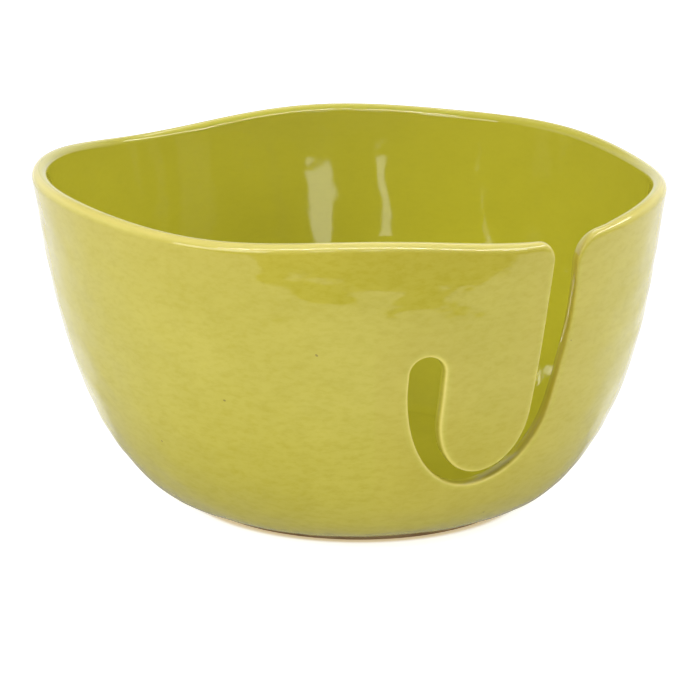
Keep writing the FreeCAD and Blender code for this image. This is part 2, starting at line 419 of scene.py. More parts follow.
# ---------------------------------------------------------------- the edge: the rim and the slot in it
COLUMN_AZIMUTHS = np.arange(COLUMNS) * 2 * math.pi / COLUMNS
LEFT_COLUMN = int(round(math.radians(PATCH[0]) / (2 * math.pi) * COLUMNS)) % COLUMNS
RIGHT_COLUMN = int(round(math.radians(PATCH[1]) / (2 * math.pi) * COLUMNS))


def patch_columns():
    """The columns strictly inside the patch, from left to right."""
    return [i % COLUMNS for i in range(LEFT_COLUMN - COLUMNS + 1, RIGHT_COLUMN)]


def rim_loop(columns):
    """Loop points on the rim at these columns, as x and z, and the direction to their left."""
    azimuths = COLUMN_AZIMUTHS[columns]
    heights = rim_height(azimuths)
    x = middle(azimuths, along_at(heights))[:, 0]
    slopes = rim_at(x)[1]
    left = unit(np.stack([slopes, -np.ones_like(slopes)], axis=-1))
    return np.stack([x, heights], axis=-1), left


def edge_loop():
    """The edge in the patch, clay on the left, from the patch's right side to its left: points, the
    direction to their left, and the power of the edge's section."""
    outline, left, stops, total = resample(SLOT, EDGE_STEP)
    inner = patch_columns()[::-1]
    points, ways = rim_loop([RIGHT_COLUMN] + inner + [LEFT_COLUMN])
    right_part = points[:, 0] > outline[0][0] + EDGE_GAP
    left_part = points[:, 0] < outline[-1][0] - EDGE_GAP
    power = LIP_POWER + (SLOT_POWER - LIP_POWER) * ease(np.minimum(stops, total - stops) / POWER_FADE)
    loop = np.concatenate([points[right_part], outline, points[left_part]])
    loop_left = np.concatenate([ways[right_part], left, ways[left_part]])
    powers = np.concatenate([
        np.full(right_part.sum(), LIP_POWER), power, np.full(left_part.sum(), LIP_POWER),
    ])
    return loop, loop_left, powers


LOOP, LOOP_LEFT, LOOP_POWER = edge_loop()
LOOP_LEFT[[0, -1]] = (0, -1)    # the ends join the grid's columns, straight below them
FREE_COLUMNS = range(LEFT_COLUMN - 1, RIGHT_COLUMN, -1)


def triangulate(flat, border):
    """Triangles over flat points, filling the outline of which the first points, border in number, are the
    corners."""
    inside_only = 1
    result = geometry.delaunay_2d_cdt(flat, [], [list(range(border))], inside_only, 1e-7)
    return [[result[3][v][0] for v in face] for face in result[2]]


def edge_section(power, row, rows, inset):
    """Distance in from the edge, and the share of half the wall's thickness, at a row round the edge."""
    turn = math.pi / 2 * row / rows
    inward = inset + (EDGE_REACH - inset) * (1 - np.maximum(math.cos(turn), 0) ** (2 / power))
    return inward, max(math.sin(turn), 0.0) ** (2 / power)


class Layer:
    """One surface of the wall: a grid of quads, triangles in the patch round the slot, and rows that turn
    over the edge. side is 1 outside and -1 inside, and inset is how deep it lies under the glaze."""

    def __init__(self, side, inset, rows, edge_rows):
        self.side = side
        self.inset = inset
        self.rows = rows
        self.edge_rows = edge_rows
        self.spots = []
        self.faces = []
        self.build_grid()
        self.build_edge()
        self.fill_patch()
        self.place()

    def add(self, azimuth, along, from_edge, depth_share=1.0, turn=1.0, power=LIP_POWER):
        """Adds a point: its place on the wall, how far it is from the edge and out from the wall's middle,
        how far over the edge, and the power of the edge's section."""
        self.spots.append((azimuth, along, from_edge, depth_share, turn, power))
        return len(self.spots) - 1

    def build_grid(self):
        """Columns up the wall from the foot to where the lip's rounding starts."""
        self.top = along_at(rim_height(COLUMN_AZIMUTHS) - EDGE_REACH)
        self.foot_row = self.patch_foot_row()
        self.hole = set(patch_columns())
        self.grid = np.full((COLUMNS, self.rows + 1), -1)
        for i in range(COLUMNS):
            for j in range(self.rows + 1):
                if i in self.hole and j > self.foot_row:
                    continue
                along = self.top[i] * j / self.rows
                from_edge = self.top[i] - along + EDGE_REACH
                self.grid[i, j] = self.add(COLUMN_AZIMUTHS[i], along, from_edge)
        for i in range(COLUMNS):
            after = (i + 1) % COLUMNS
            for j in range(self.rows):
                quad = [self.grid[i, j], self.grid[after, j], self.grid[after, j + 1], self.grid[i, j + 1]]
                if min(quad) >= 0 and not self.in_hole(i, j):
                    self.faces.append(quad)

    def patch_foot_row(self):
        heights = middle_section(self.top[0] * np.arange(self.rows + 1) / self.rows)[:, 1]
        return int(np.searchsorted(heights, PATCH_FOOT))

    def in_hole(self, i, j):
        after = (i + 1) % COLUMNS
        return j >= self.foot_row and (i in self.hole or after in self.hole)

    def build_edge(self):
        """Rows over the edge, from the middle of its thickness (row 0) to the wall's face. The patch comes
        first, then the rest of the rim."""
        self.patch_edge = np.full((len(LOOP), self.edge_rows + 1), -1)
        for row in range(self.edge_rows + 1):
            inward, share = edge_section(LOOP_POWER, row, self.edge_rows, self.inset)
            spots = LOOP + LOOP_LEFT * inward[:, None]
            along = along_at(spots[:, 1])
            azimuth = azimuth_at(spots[:, 0], along)
            azimuth[0] = COLUMN_AZIMUTHS[RIGHT_COLUMN]
            azimuth[-1] = COLUMN_AZIMUTHS[LEFT_COLUMN]
            for n in range(len(LOOP)):
                if row == self.edge_rows and n == 0:
                    self.patch_edge[n, row] = self.grid[RIGHT_COLUMN, self.rows]
                elif row == self.edge_rows and n == len(LOOP) - 1:
                    self.patch_edge[n, row] = self.grid[LEFT_COLUMN, self.rows]
                else:
                    self.patch_edge[n, row] = self.add(
                        azimuth[n], along[n], inward[n], share[n], row / self.edge_rows, LOOP_POWER[n]
                    )
        free = []
        for i in FREE_COLUMNS:
            line = []
            for row in range(self.edge_rows):
                inward, share = edge_section(LIP_POWER, row, self.edge_rows, self.inset)
                along = float(along_at(rim_height(COLUMN_AZIMUTHS[i]) - inward))
                line.append(self.add(COLUMN_AZIMUTHS[i], along, inward, share, row / self.edge_rows))
            free.append(line + [self.grid[i, self.rows]])
        self.edge = np.concatenate([self.patch_edge, np.array(free)])
        for here, after in zip(self.edge, np.roll(self.edge, -1, axis=0)):
            for row in range(self.edge_rows):
                self.faces.append([here[row], after[row], after[row + 1], here[row + 1]])

    def fill_patch(self):
        """Triangles between the grid, the rim and the slot's edge."""
        border = [self.grid[i % COLUMNS, self.foot_row]
                  for i in range(LEFT_COLUMN - COLUMNS, RIGHT_COLUMN + 1)]
        border += [self.grid[RIGHT_COLUMN, j] for j in range(self.foot_row + 1, self.rows)]
        border += list(self.patch_edge[:, self.edge_rows])
        border += [self.grid[LEFT_COLUMN, j] for j in range(self.rows - 1, self.foot_row, -1)]
        inner = [(COLUMN_AZIMUTHS[i], self.top[i] * j / self.rows)
                 for i in patch_columns() for j in range(self.foot_row + 1, self.rows)]
        azimuth, along = np.array(inner).T.copy()
        spots = middle(azimuth, along)
        away = slot_distance(spots[:, 0], spots[:, 2])
        rim_away = rim_at(spots[:, 0])[0] - spots[:, 2]
        least = EDGE_REACH + 0.5 * self.top[0] / self.rows
        keep = (away > least) & (rim_away > least) & ~in_slot(spots[:, 0], spots[:, 2])
        members = border + [self.add(*spot) for spot in zip(
            azimuth[keep], along[keep], np.minimum(away, rim_away)[keep])]
        azimuth, along = np.array(self.spots)[members, :2].T.copy()
        flat = [Vector((p[0], p[2])) for p in middle(azimuth, along)]
        self.faces += [[members[v] for v in face] for face in triangulate(flat, len(border))]

    def place(self):
        """Positions, normals and the numbers for the material, as arrays."""
        azimuth, along, self.from_edge, share, self.turn, self.power = np.array(self.spots).T.copy()
        half = thickness(along) / 2 - self.inset
        self.points = wall_point(azimuth, along, self.side * half * share)
        self.normals = wall_normal(azimuth, along, self.side)

    def bend_edge_normals(self, other):
        """Normals of the rows over the edge, from the rows beside them. other is the layer across it."""
        rows = np.concatenate([other.points[other.edge[:, 1:2]], self.points[self.edge]], axis=1)
        beside = np.roll(rows, -1, axis=0) - np.roll(rows, 1, axis=0)
        inward = rows[:, 2:] - rows[:, :-2]
        normals = unit(np.cross(beside[:, 1:-1], inward)) * self.side
        self.normals[self.edge[:, :-1]] = normals


def oriented(faces, side):
    """Faces that point out of the wall on this side."""
    return faces if side > 0 else [face[::-1] for face in faces]


class Mesh:
    """Collects vertices, normals, numbers for the materials, and faces."""

    def __init__(self):
        self.points = []
        self.normals = []
        self.thin = []
        self.cut = []
        self.faces = []

    def count(self):
        return sum(len(block) for block in self.points)

    def add(self, points, normals, thin=None, cut=None):
        first = self.count()
        zeros = np.zeros(len(points))
        self.points.append(np.asarray(points, float))
        self.normals.append(np.asarray(normals, float))
        self.thin.append(zeros if thin is None else thin)
        self.cut.append(zeros if cut is None else cut)
        return first

    def join(self, ring_a, ring_b):
        """Quads between two rings of equal length, ring_b on the left of ring_a's direction."""
        for n in range(len(ring_a)):
            after = (n + 1) % len(ring_a)
            self.faces.append([ring_a[n], ring_a[after], ring_b[after], ring_b[n]])

    def disk(self, ring, spacing, lift=None):
        """Fills a level ring, counter-clockwise seen from its front, with triangles. lift gives the points
        and normals from flat ones."""
        points = np.concatenate(self.points)[ring]
        centre = points.mean(axis=0)
        radius = np.linalg.norm(points[:, :2] - centre[:2], axis=1).min()
        facing = 1.0 if signed_area(points) > 0 else -1.0
        inner = []
        twist = 0.37
        rings = int(radius / spacing)
        for k in range(1, rings):
            r = radius * k / rings
            count = max(6, int(round(2 * math.pi * r / spacing)))
            turn = np.arange(count) * 2 * math.pi / count + twist * k
            inner.append(np.stack([centre[0] + r * np.cos(turn), centre[1] + r * np.sin(turn),
                                   np.full(count, centre[2])], axis=-1))
        inner = np.concatenate([[centre]] + inner)
        normals = np.tile([0.0, 0.0, facing], (len(inner), 1))
        flat = [Vector(p[:2]) for p in np.concatenate([points, inner])]
        if lift:
            inner, normals = lift(inner, normals)
        first = self.add(inner, normals)
        members = list(ring) + list(range(first, first + len(inner)))
        for face in triangulate(flat, len(ring)):
            triangle = [members[v] for v in face]
            self.faces.append(triangle if facing > 0 else triangle[::-1])

    def make(self, name):
        mesh = bpy.data.meshes.new(name)
        points = np.concatenate(self.points) * MM
        mesh.from_pydata(points.tolist(), [], [[int(v) for v in face] for face in self.faces])
        mesh.validate()
        for key, values in (("thin_glaze_and_painted_light", self.thin), ("cut_face", self.cut)):
            layer = mesh.attributes.new(key, "FLOAT", "POINT")
            layer.data.foreach_set("value", np.concatenate(values).astype(np.float32))
        mesh.polygons.foreach_set("use_smooth", [True] * len(mesh.polygons))
        mesh.normals_split_custom_set_from_vertices(np.concatenate(self.normals).tolist())
        piece = bpy.data.objects.new(name, mesh)
        bpy.context.scene.collection.objects.link(piece)
        return piece


def signed_area(points):
    """Area of a level ring, positive if it runs counter-clockwise seen from above."""
    x, y = points[:, 0], points[:, 1]
    return 0.5 * np.sum(x * np.roll(y, -1) - np.roll(x, -1) * y)


def edge_numbers(layer):
    """How thin the glaze has run, strongest along sharp edges, and how brown it is: on the slot's far side,
    and a little in the warm band below the lip. On the lip the pale is partly the glaze running thin and
    partly painted light on the lip's upward-facing top."""
    sharp = (layer.power - LIP_POWER) / (SLOT_POWER - LIP_POWER)
    flat = ease(1.25 - 1.9 * layer.turn)    # 1 on the flat of a cut face, 0 on its rounded corner
    # The slot's far side, past x = 20 mm, is made browner and its rounded corners less pale than on the hook
    # side.
    far_side = ease((layer.points[:, 0] - 20.0) / 6.0)
    on_corner = np.exp(-((layer.turn - 0.55) / 0.22) ** 2)
    arris = (0.55 - 0.40 * far_side) * on_corner + 0.12 * flat * (1 - far_side)
    # painted light in part: the lip is made paler towards its top, partly for the glaze running thin and
    # partly standing in for light on its upward-facing top
    lip = (0.90 if layer.side > 0 else 0.50) * ease((1 - layer.turn) / 0.75)
    on_edge = layer.turn < 1
    thin = np.where(on_edge, sharp * arris + (1 - sharp) * lip, 0.0)
    past = np.maximum(layer.from_edge - EDGE_REACH, 0)
    warm, warm_reach = 0.30, 14.0
    over_edge = sharp * flat * far_side + (1 - sharp) * warm * layer.turn ** 2
    cut = np.where(on_edge, over_edge, warm * np.exp(-past / warm_reach))
    return thin, cut


# ---------------------------------------------------------------- the pieces
def foot_ring_size():
    """The foot ring's outer radius and its height, in mm."""
    low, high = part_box("foot_ring")
    return (high[0] - low[0]) / 2 / MM, (high[2] - low[2]) / MM


RING_RADIUS, RING_HEIGHT = foot_ring_size()
RING_WIDTH = 5.2
COAT_FOOT = ((43.15, 1.93), (42.85, 2.03), (42.74, 2.22), (42.78, 2.38))    # radius, height: its rounded end


def foot_circle(radius, height):
    """A level circle of points about the foot's axis."""
    azimuth = COLUMN_AZIMUTHS
    return np.stack([FOOT_X + radius * np.sin(azimuth), FOOT_Y - radius * np.cos(azimuth),
                     np.full(COLUMNS, height)], axis=-1)


def surface_layers():
    """The finished surfaces outside and inside, and the clay's surfaces under the glaze."""
    outside = Layer(1, 0.0, FINE_ROWS, EDGE_ROWS)
    inside = Layer(-1, 0.0, FINE_ROWS, EDGE_ROWS)
    clay_outside = Layer(1, GLAZE, COARSE_ROWS, COARSE_EDGE_ROWS)
    clay_inside = Layer(-1, GLAZE, COARSE_ROWS, COARSE_EDGE_ROWS)
    outside.bend_edge_normals(inside)
    inside.bend_edge_normals(outside)
    return outside, inside, clay_outside, clay_inside


def glaze_coat(front, back, reliefs):
    """A coat of glaze on one side of the wall: its finished surface, its back on the clay, and the seam
    along the middle of every edge. The foot is left open, and its two rings are returned."""
    mesh = Mesh()
    thin, cut = edge_numbers(front)
    smooth_reach = 9.0
    amount = ease((front.from_edge - 0.5 * EDGE_REACH) / smooth_reach)
    points, normals = add_relief(front.points, front.normals, amount, reliefs)
    mesh.add(points, normals, thin, cut)
    first = mesh.add(back.points, -back.normals)
    mesh.faces += oriented(front.faces, front.side)
    mesh.faces += [[v + first for v in face] for face in oriented(back.faces, -front.side)]
    seam_front = list(front.edge[:, 0])
    seam_back = [v + first for v in back.edge[:, 0]]
    if front.side > 0:
        mesh.join(seam_back, seam_front)
    else:
        mesh.join(seam_front, seam_back)
    return mesh, list(front.grid[:, 0]), [v + first for v in back.grid[:, 0]]


def outer_coat(outside, clay_outside):
    mesh, foot, foot_back = glaze_coat(outside, clay_outside, OUTSIDE_RELIEF)
    rings = [foot]
    down = np.tile([0.0, 0.0, -1.0], (COLUMNS, 1))
    for radius, height in COAT_FOOT:
        first = mesh.add(foot_circle(radius, height), down)
        rings.append(list(range(first, first + COLUMNS)))
    rings.append(foot_back)
    for upper, lower in zip(rings, rings[1:]):
        mesh.join(lower, upper)
    return mesh.make("glaze_outside_coat")


def inner_coat(inside, clay_inside):
    mesh, foot, foot_back = glaze_coat(inside, clay_inside, INSIDE_RELIEF)

    def lift(points, normals):
        return add_relief(points, normals, np.ones(len(points)), INSIDE_RELIEF)

    visible_spacing = 1.1
    mesh.disk(foot, visible_spacing, lift)
    mesh.disk(foot_back[::-1], DISK_SPACING)
    return mesh.make("glaze_inside_coat")


def clay_core(clay_outside, clay_inside):
    """The clay under the glaze. Its two sides share the points along the middle of every edge."""
    mesh = Mesh()
    mesh.add(clay_outside.points, clay_outside.normals)
    first = mesh.add(clay_inside.points, clay_inside.normals)
    same = dict(zip((clay_inside.edge[:, 0] + first).tolist(), clay_outside.edge[:, 0].tolist()))
    mesh.faces += clay_outside.faces
    for face in oriented(clay_inside.faces, -1):
        mesh.faces.append([same.get(int(v) + first, int(v) + first) for v in face])
    mesh.disk(list(clay_outside.grid[:, 0])[::-1], DISK_SPACING)
    mesh.disk([v + first for v in clay_inside.grid[:, 0]], DISK_SPACING)
    piece = mesh.make("clay_wall")
    tidy_loose(piece)
    return piece


def tidy_loose(piece):
    """Deletes vertices that no face uses."""
    work = bmesh.new()
    work.from_mesh(piece.data)
    bmesh.ops.delete(work, geom=[v for v in work.verts if not v.link_faces], context="VERTS")
    work.to_mesh(piece.data)
    work.free()


def lathe(name, section, centre_spacing=None):
    """A closed ring turned about the foot's axis from a closed section, or with centre_spacing a disk, whose
    section's ends are filled."""
    mesh = Mesh()
    rings = []
    for radius, height, out, up in section:
        azimuth = COLUMN_AZIMUTHS
        normals = np.stack([out * np.sin(azimuth), -out * np.cos(azimuth), np.full(COLUMNS, up)], axis=-1)
        first = mesh.add(foot_circle(radius, height), unit(normals))
        rings.append(list(range(first, first + COLUMNS)))
    for a, b in zip(rings, rings[1:]):
        mesh.join(a, b)
    if centre_spacing:
        mesh.disk(rings[0][::-1], centre_spacing)
        mesh.disk(rings[-1], centre_spacing)
    else:
        mesh.join(rings[-1], rings[0])
    return mesh.make(name)


def ring_section():
    """The foot ring's section, counter-clockwise from under its outer edge: radius, height, normal."""
    outer, inner = RING_RADIUS, RING_RADIUS - RING_WIDTH
    rounding = 0.8
    section = []
    for centre, start in ((outer - rounding, -90), (inner + rounding, 180)):
        for turn in range(start, start + 91, 15):
            out, up = math.cos(math.radians(turn)), math.sin(math.radians(turn))
            section.append((centre + rounding * out, rounding * (1 + up), out, up))
        if start == -90:
            for height in (1.2, 1.8, RING_HEIGHT):
                section.append((outer, height, 1, 0))
            section.append((inner, RING_HEIGHT, -1, 0))
            section.append((inner, 1.6, -1, 0))
    return section


def base_section():
    """The patch of glaze within the ring: a thin disk with a rounded rim, lower face first."""
    gap, round_out, round_up = 0.05, 0.25, 0.22
    radius = RING_RADIUS - RING_WIDTH - gap
    low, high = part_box("base_glaze")
    bottom, top = low[2] / MM, high[2] / MM
    section = [(radius * share, bottom, 0, -1) for share in (0.3, 0.6, 0.85, 0.95)]
    section.append((radius - 0.5, bottom - 0.05, 0, -1))
    for turn in range(-75, 1, 25):
        out, up = math.cos(math.radians(turn)), math.sin(math.radians(turn))
        section.append((radius - round_out + round_out * out, bottom + round_up + round_up * up, out, up))
    section.append((radius - 0.02, top - 0.01, 1, 0))
    section.append((radius - 0.2, top, 0, 1))
    return section


# ---------------------------------------------------------------- materials
OUTSIDE_GLAZE = {
    "full": (0.475, 0.42, 0.054), "pooled": (0.40, 0.352, 0.026), "broken_and_painted_light": (0.84, 0.73, 0.21),
    "cut": (0.44, 0.34, 0.045), "weave": 0.30,
}
# Inside, the glaze is brighter and greener than outside: partly a separate coat, partly painted light
# standing in for the light the bowl's inside throws back on itself.
INSIDE_GLAZE_WITH_PAINTED_LIGHT = {
    "full": (0.56, 0.52, 0.038), "pooled": (0.49, 0.455, 0.029), "broken_and_painted_light": (0.84, 0.75, 0.22),
    "cut": (0.44, 0.37, 0.05), "weave": 0.12,
}
IRON = (0.10, 0.07, 0.02)
PALE_CLAY, DARK_CLAY, CLAY_GRAIN = (0.56, 0.40, 0.24), (0.42, 0.27, 0.15), (0.20, 0.12, 0.06)


def new_material(name):
    material = bpy.data.materials.new(name)
    material.use_nodes = True
    tree = material.node_tree
    tree.nodes.clear()
    output = tree.nodes.new("ShaderNodeOutputMaterial")
    shader = tree.nodes.new("ShaderNodeBsdfPrincipled")
    tree.links.new(shader.outputs["BSDF"], output.inputs["Surface"])
    return material, tree, shader


def object_noise(tree, scale, stretch, detail=3.0, roughness=0.55):
    """Noise in the object's own space, with its features stretched by stretch along X, Y and Z."""
    place = tree.nodes.new("ShaderNodeTexCoord")
    mapping = tree.nodes.new("ShaderNodeMapping")
    mapping.inputs["Scale"].default_value = [1 / s for s in stretch]
    noise = tree.nodes.new("ShaderNodeTexNoise")
    noise.inputs["Scale"].default_value = scale
    noise.inputs["Detail"].default_value = detail
    noise.inputs["Roughness"].default_value = roughness
    tree.links.new(place.outputs["Object"], mapping.inputs["Vector"])
    tree.links.new(mapping.outputs["Vector"], noise.inputs["Vector"])
    return noise.outputs["Fac"]


def remap(tree, value, low, high, to_low, to_high):
    node = tree.nodes.new("ShaderNodeMapRange")
    node.interpolation_type = "SMOOTHSTEP"
    for key, number in (("From Min", low), ("From Max", high), ("To Min", to_low), ("To Max", to_high)):
        node.inputs[key].default_value = number
    tree.links.new(value, node.inputs["Value"])
    return node.outputs["Result"]


def mix_colour(tree, factor, a, b):
    node = tree.nodes.new("ShaderNodeMix")
    node.data_type = "RGBA"
    for socket, value in ((node.inputs["Factor"], factor), (node.inputs[6], a), (node.inputs[7], b)):
        if isinstance(value, (tuple, float)):
            socket.default_value = value if isinstance(value, float) else (*value, 1.0)
        else:
            tree.links.new(value, socket)
    return node.outputs[2]


def combine(tree, operation, a, b):
    node = tree.nodes.new("ShaderNodeMath")
    node.operation = operation
    for socket, value in zip(node.inputs, (a, b)):
        if isinstance(value, float):
            socket.default_value = value
        else:
            tree.links.new(value, socket)
    return node.outputs[0]


def attribute(tree, name):
    node = tree.nodes.new("ShaderNodeAttribute")
    node.attribute_name = name
    return node.outputs["Fac"]


def add_bump(tree, shader, height, distance, strength, under=None):
    """Bump on the shader, over another bump's normal if one is given."""
    bump = tree.nodes.new("ShaderNodeBump")
    bump.inputs["Distance"].default_value = distance
    bump.inputs["Strength"].default_value = strength
    tree.links.new(height, bump.inputs["Height"])
    if under:
        tree.links.new(under, bump.inputs["Normal"])
    tree.links.new(bump.outputs["Normal"], shader.inputs["Normal"])
    return bump.outputs["Normal"]


def glaze(name, full, pooled, broken_and_painted_light, cut, weave):
    """A glossy coloured glaze. It pools darker in places, breaks pale over edges, with painted light added to
    that pale on the lip, and is browner on the slot's far side and in a band below the lip. weave is how
    strongly its linen marks show."""
    material, tree, shader = new_material(name)
    cloud = object_noise(tree, 50.0, (1.6, 1.6, 1.0), 2.0)
    blotch = object_noise(tree, 300.0, (2.4, 2.4, 1.0), 3.0)
    linen = object_noise(tree, 820.0, (2.2, 2.2, 1.0), 4.0, 0.65)
    tone = combine(tree, "ADD", remap(tree, cloud, 0.35, 0.65, 0.0, 0.30),
                   remap(tree, blotch, 0.44, 0.70, 0.0, 0.7 * weave))
    tone = combine(tree, "ADD", tone, remap(tree, linen, 0.38, 0.72, 0.0, 1.9 * weave))
    colour = mix_colour(tree, tone, full, pooled)
    colour = mix_colour(tree, combine(tree, "MULTIPLY", attribute(tree, "cut_face"), 0.7), colour, cut)
    # pale where the glaze runs thin over edges, with painted light on the lip's top
    colour = mix_colour(tree, attribute(tree, "thin_glaze_and_painted_light"), colour, broken_and_painted_light)
    speck = remap(tree, object_noise(tree, 560.0, (1.0, 1.0, 1.0), 0.0), 0.90, 0.91, 0.0, 0.6)
    colour = mix_colour(tree, speck, colour, IRON)
    tree.links.new(colour, shader.inputs["Base Color"])
    gloss = remap(tree, cloud, 0.3, 0.7, 0.035, 0.07)
    tree.links.new(gloss, shader.inputs["Roughness"])
    shader.inputs["IOR"].default_value = 1.52
    fine = add_bump(tree, shader, linen, 0.00010, 0.35 * weave)
    add_bump(tree, shader, blotch, 0.00015, 0.35 * weave, fine)
    return material


def bare_clay(name):
    """Fired clay without glaze: matte, mottled and grainy."""
    material, tree, shader = new_material(name)
    grain = object_noise(tree, 1400.0, (1.0, 1.0, 1.0), 4.0, 0.7)
    patch = object_noise(tree, 90.0, (1.0, 1.0, 1.0), 3.0)
    colour = mix_colour(tree, remap(tree, patch, 0.3, 0.7, 0.0, 1.0), PALE_CLAY, DARK_CLAY)
    colour = mix_colour(tree, remap(tree, grain, 0.62, 0.75, 0.0, 0.6), colour, CLAY_GRAIN)
    tree.links.new(colour, shader.inputs["Base Color"])
    tree.links.new(remap(tree, grain, 0.3, 0.7, 0.75, 0.95), shader.inputs["Roughness"])
    add_bump(tree, shader, grain, 0.00025, 0.6)
    return material


# ---------------------------------------------------------------- the stage
CAMERA_AZIMUTH = math.radians(-20.0)
CAMERA_ELEVATION = math.radians(16.7)
CAMERA_DISTANCE = 1.0
CAMERA_LENS = 200.8
CAMERA_AIM = 0.039
CAMERA_ROLL = math.radians(0.72)
CAMERA_SHIFT = (0.0055, -0.013)
BOWL_MIDDLE = (0.0, 0.0, 0.05)
TABLE_FRONT = 0.19      # from the bowl's axis to the table's front edge, as the gloss mirrors it
# The mirrored table's glow holds painted shade: it is dimmer near the foot and on the camera's side of it, a
# painted shadow of the bowl in the reflection.
TABLE_GLOW = 1.15
TABLE_BACK = (-0.016, 0.036)    # its far side brightens between these, measured along the photo's view
CONTACT_SHADE_TINT = (0.62, 0.50, 0.30)  # painted warm contact shade: the tables' glow turns darker and warmer beside the foot
CONTACT_SHADE_END = (0.0430, 0.0450)     # and where that painted shade ends, from the foot's middle
SPILL_END = (0.05, 0.16)        # the glow comes to light the bowl in full between these
WORLD_GLOW = 0.50
ROOM_GLOW = 0.10        # the room, as the gloss mirrors it


def vector_math(tree, operation, vector, other):
    node = tree.nodes.new("ShaderNodeVectorMath")
    node.operation = operation
    node.inputs[1].default_value = other
    tree.links.new(vector, node.inputs[0])
    return node.outputs["Value"]


def choose(tree, ray, usual, special):
    """One value for most rays and another, which may be a socket, for rays of this kind."""
    rays = tree.nodes.new("ShaderNodeLightPath")
    node = tree.nodes.new("ShaderNodeMix")
    tree.links.new(rays.outputs[ray], node.inputs["Factor"])
    node.inputs["A"].default_value = usual
    tree.links.new(special, node.inputs["B"])
    return node.outputs["Result"]


def lit_table(name, matte, near, far, spill=1.0, back_glow=0.0):
    """A white table lit from below. near and far are distances from the foot's middle, each with its glow;
    a brighter glow near the foot is a painted pool of light and a dimmer one a painted shadow. The glow is at
    least back_glow on the far side, and spill is how much of that beside the foot lights the bowl. Right
    beside the foot the glow's colour turns darker and warmer, a painted contact shade."""
    material, tree, shader = new_material(name)
    grain = object_noise(tree, 60.0, (1.0, 1.0, 1.0), 2.0)
    colour = mix_colour(tree, remap(tree, grain, 0.3, 0.7, 0.0, 1.0), (matte,) * 3, (matte + 0.02,) * 3)
    tree.links.new(colour, shader.inputs["Base Color"])
    shader.inputs["Roughness"].default_value = 0.9
    shader.inputs["Specular IOR Level"].default_value = 0.0
    place = tree.nodes.new("ShaderNodeTexCoord").outputs["Object"]
    offset = vector_math(tree, "DISTANCE", place, (FOOT_X * MM, FOOT_Y * MM, 0))
    behind = vector_math(tree, "DOT_PRODUCT", place, (-math.sin(CAMERA_AZIMUTH), math.cos(CAMERA_AZIMUTH), 0))
    # painted light and shade: the glow changes with distance from the foot, and is kept up on the far side
    glow = combine(tree, "MAXIMUM", remap(tree, offset, near[0], far[0], near[1], far[1]),
                   remap(tree, behind, *TABLE_BACK, 0.0, back_glow))
    glow = combine(tree, "MULTIPLY", glow,
                   choose(tree, "Is Diffuse Ray", 1.0, remap(tree, offset, *SPILL_END, spill, 1.0)))
    tree.links.new(glow, shader.inputs["Emission Strength"])
    # painted contact shade: a darker, warmer glow right beside the foot
    contact_shade = mix_colour(tree, remap(tree, offset, *CONTACT_SHADE_END, 0.0, 1.0), CONTACT_SHADE_TINT, (1.0, 1.0, 1.0))
    tree.links.new(contact_shade, shader.inputs["Emission Color"])
    return material


def toward_camera(distance, height):
    """A point out from the bowl's axis on the camera's side."""
    return Vector((math.sin(CAMERA_AZIMUTH) * distance, -math.cos(CAMERA_AZIMUTH) * distance, height))


def add_camera():
    data = bpy.data.cameras.new("camera")
    data.sensor_width = 36.0
    data.lens = CAMERA_LENS
    data.shift_x, data.shift_y = CAMERA_SHIFT
    data.clip_end = 20.0
    camera = bpy.data.objects.new("camera", data)
    bpy.context.scene.collection.objects.link(camera)
    aim = Vector((0, 0, CAMERA_AIM))
    away = toward_camera(math.cos(CAMERA_ELEVATION), math.sin(CAMERA_ELEVATION))
    camera.location = aim + away * CAMERA_DISTANCE
    turn = away.to_track_quat("Z", "Y").to_matrix().to_4x4()
    camera.matrix_world = Matrix.Translation(camera.location) @ turn @ Matrix.Rotation(CAMERA_ROLL, 4, "Z")
    bpy.context.scene.camera = camera


def add_plane(name, corners, material):
    mesh = bpy.data.meshes.new(name)
    mesh.from_pydata([tuple(corner) for corner in corners], [], [tuple(range(len(corners)))])
    mesh.materials.append(material)
    plane = bpy.data.objects.new(name, mesh)
    bpy.context.scene.collection.objects.link(plane)
    return plane


def add_floor():
    """A wide pale floor, lit from below. Its glow is brighter round the foot, a painted pool of light that
    washes out the bowl's shadow. The bowl's gloss mirrors a table whose front edge lies a hand's width in
    front of it, rounds back on the left and runs straight on to the right; its glow is dimmed beside the
    foot, a painted shadow in the reflection."""
    wide = 3.0
    # painted light: the floor glows 0.80 near the foot and 0.42 further out
    pale = lit_table("studio_floor", 0.90, (0.06, 0.80), (0.20, 0.42), spill=0.25)
    floor = add_plane("floor", [(-wide, -wide, 0), (wide, -wide, 0), (wide, wide, 0), (-wide, wide, 0)], pale)
    floor.visible_glossy = False
    low = -0.0005
    front = [(TABLE_FRONT * math.sin(turn), -TABLE_FRONT * math.cos(turn), low)
             for turn in np.radians(np.arange(-45, 10, 4.0))]
    left = [(-wide, wide, low), (-wide, front[0][1], low)]
    right = [(wide, front[-1][1], low), (wide, wide, low)]
    # painted shadow in the reflection: the mirrored table glows only 0.38 beside the foot, rising to full
    # further out
    white = lit_table("mirrored_white", 0.0, (0.045, 0.38), (0.15, TABLE_GLOW), back_glow=TABLE_GLOW)
    table = add_plane("mirrored_table", left + front + right, white)
    for seen in ("camera", "diffuse", "shadow"):
        setattr(table, "visible_" + seen, False)


